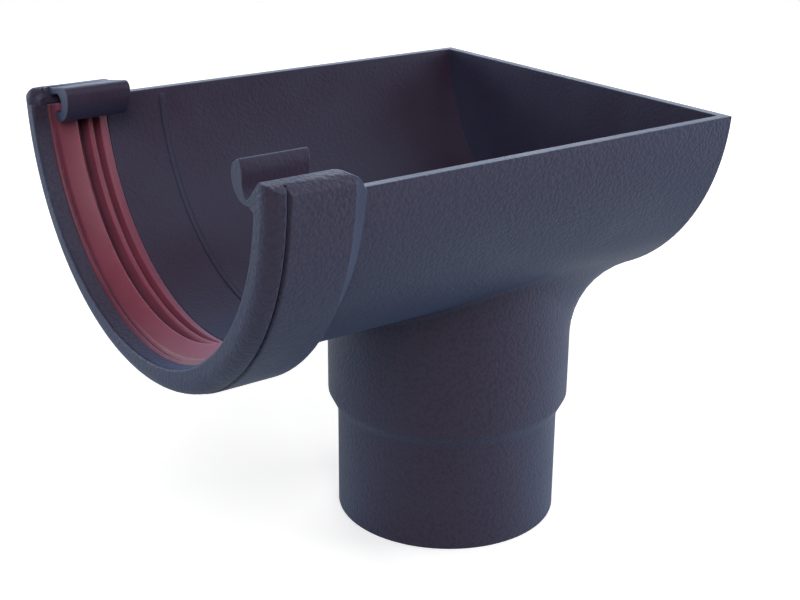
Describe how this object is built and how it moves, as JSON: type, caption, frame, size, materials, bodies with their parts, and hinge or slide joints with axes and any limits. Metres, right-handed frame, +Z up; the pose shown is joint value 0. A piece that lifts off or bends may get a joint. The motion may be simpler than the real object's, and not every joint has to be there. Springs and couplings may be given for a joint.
{
  "type": "gutter stop end outlet",
  "caption": "Half-round gutter outlet: a trough closed at one end, a sealed snap-in socket at the other, and a spigot below that takes a round downpipe.",
  "frame": {"origin": "middle of the spigot's foot, on the spigot's axis", "axes": "+X towards the closed end, with the socket's mouth at -X; +Z up out of the outlet; the near wall with the snap leaf is at -Y and the rear hook at +Y"},
  "size_m": [0.1514, 0.1367, 0.1389],
  "materials": {
    "moulded_plastic": "near-black blue moulded plastic with a fine cast-iron-like grain and a satin sheen",
    "seal_rubber": "smooth burgundy rubber with a soft sheen"
  },
  "bodies": {
    "root": {"outlet_body": "moulded_plastic", "socket_seal": "seal_rubber"}
  },
  "joints": []
}
